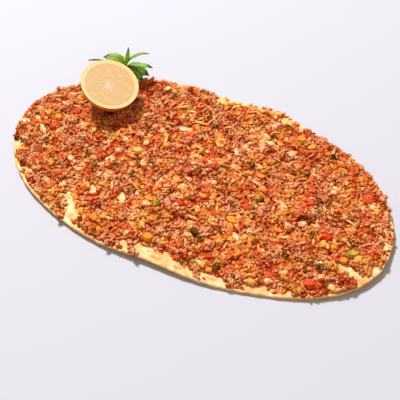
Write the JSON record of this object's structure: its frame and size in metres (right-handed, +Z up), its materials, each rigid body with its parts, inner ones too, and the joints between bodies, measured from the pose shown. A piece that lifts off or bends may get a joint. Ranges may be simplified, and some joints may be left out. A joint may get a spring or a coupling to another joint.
{
  "type": "lahmacun",
  "caption": "Long oval lahmacun: thin flatbread baked under a crumbly layer of minced meat and diced vegetables, with half a lemon, cut face up, and a mint sprig near one end.",
  "frame": {"origin": "middle of the bread's flat underside", "axes": "+X along the bread's long axis, away from the end that carries the lemon; +Z up, out of the topping"},
  "size_m": [0.362, 0.2107, 0.0425],
  "materials": {
    "bread": "dry baked crust, matte, with an oily stain along the topping",
    "topping": "cooked minced meat, crumbly, slightly oily",
    "red_pepper": "cooked pepper flesh, moist sheen",
    "yellow_pepper": "cooked pepper flesh, moist sheen",
    "green_pepper": "cooked pepper flesh, moist sheen",
    "onion": "softened onion, slightly see-through, moist",
    "lemon": "wet pulp on the cut face, waxy dimpled peel",
    "mint": "fresh leaf, satin"
  },
  "bodies": {
    "root": {"bread": "bread", "topping": "topping", "red_pepper_1": "red_pepper", "red_pepper_2": "red_pepper", "red_pepper_3": "red_pepper", "red_pepper_4": "red_pepper", "red_pepper_5": "red_pepper", "red_pepper_6": "red_pepper", "yellow_pepper_1": "yellow_pepper", "yellow_pepper_2": "yellow_pepper", "yellow_pepper_3": "yellow_pepper", "yellow_pepper_4": "yellow_pepper", "yellow_pepper_5": "yellow_pepper", "yellow_pepper_6": "yellow_pepper", "green_pepper_1": "green_pepper", "green_pepper_2": "green_pepper", "onion_1": "onion", "onion_2": "onion", "lemon_half": "lemon", "mint_sprig": "mint"}
  },
  "joints": []
}
